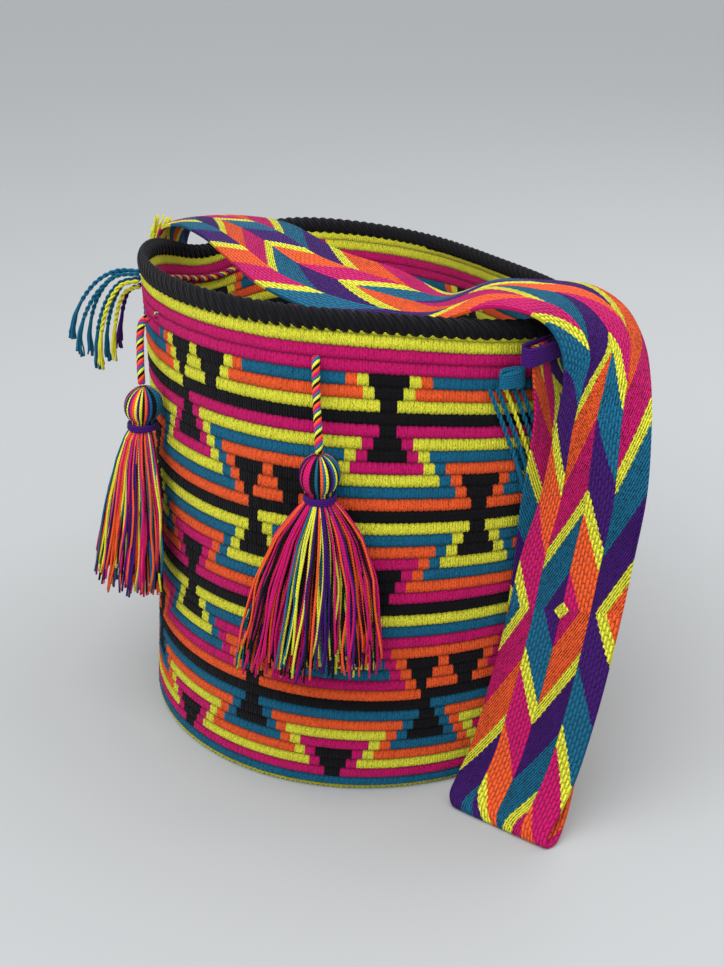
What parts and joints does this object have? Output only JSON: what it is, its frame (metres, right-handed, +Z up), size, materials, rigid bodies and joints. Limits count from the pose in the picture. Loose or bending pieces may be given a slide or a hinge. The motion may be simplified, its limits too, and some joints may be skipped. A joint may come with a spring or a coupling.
{
  "type": "crocheted drawstring shoulder bag",
  "caption": "Round-based crocheted bucket bag with an open mouth, drawstring with tassels, and a wide woven strap folded beside it.",
  "frame": {"origin": "centre of the round base, on the surface it stands on", "axes": "+Z up, front (the side with the tassels) towards -Y, the strap's fold towards +X"},
  "size_m": [0.3585, 0.401, 0.2965],
  "materials": {
    "crocheted_wall": "tight crochet in patterned yarn",
    "crocheted_edging": "puffy crochet",
    "twisted_cord": "twisted many-coloured cord",
    "tassel_yarn": "loose yarn",
    "binding_yarn": "wound yarn",
    "woven_strap": "dense woven chevrons",
    "teal_yarn": "twisted yarn",
    "lime_yarn": "twisted yarn",
    "purple_yarn": "twisted yarn"
  },
  "bodies": {
    "bag": {"bag_body": "crocheted_wall", "mouth_edging": "crocheted_edging", "drawstring": "twisted_cord", "strap": "woven_strap", "strap_binding_left": "binding_yarn", "strap_binding_right": "binding_yarn", "fringe_wrap_right": "teal_yarn", "fringe_right_1": "teal_yarn", "fringe_right_2": "teal_yarn", "fringe_right_3": "lime_yarn", "fringe_right_4": "teal_yarn", "fringe_right_5": "teal_yarn", "fringe_wrap_left": "teal_yarn", "fringe_left_1": "teal_yarn", "fringe_left_2": "teal_yarn", "fringe_left_3": "teal_yarn", "fringe_left_4": "lime_yarn", "fringe_left_5": "teal_yarn", "fringe_left_6": "teal_yarn", "fringe_left_7": "lime_yarn", "fringe_left_8": "purple_yarn", "yarn_tuft_left": "lime_yarn"},
    "tail_l": {"tail_left": "twisted_cord"},
    "tassel_l": {"tassel_left": "tassel_yarn", "tassel_tie_left": "binding_yarn"},
    "tail_m": {"tail_middle": "twisted_cord"},
    "tassel_m": {"tassel_middle": "tassel_yarn", "tassel_tie_middle": "binding_yarn"}
  },
  "joints": [
    {"name": "tail_left_lift", "type": "hinge", "parent": "bag", "child": "tail_l", "pos_m": [-0.1293, -0.0312, 0.2625], "axis": [-0.5407, 0.8412, 0], "range_deg": [0, 90]},
    {"name": "tassel_left_swing", "type": "hinge", "parent": "tail_l", "child": "tassel_l", "pos_m": [-0.1326, -0.0504, 0.2272], "axis": [-0.8412, -0.5407, 0], "range_deg": [-20, 20]},
    {"name": "tail_middle_lift", "type": "hinge", "parent": "bag", "child": "tail_m", "pos_m": [-0.0262, -0.1061, 0.2626], "axis": [-1, 0, 0], "range_deg": [0, 90]},
    {"name": "tassel_middle_swing", "type": "hinge", "parent": "tail_m", "child": "tassel_m", "pos_m": [-0.025, -0.1322, 0.2163], "axis": [0, -1, 0], "range_deg": [-20, 20]}
  ]
}
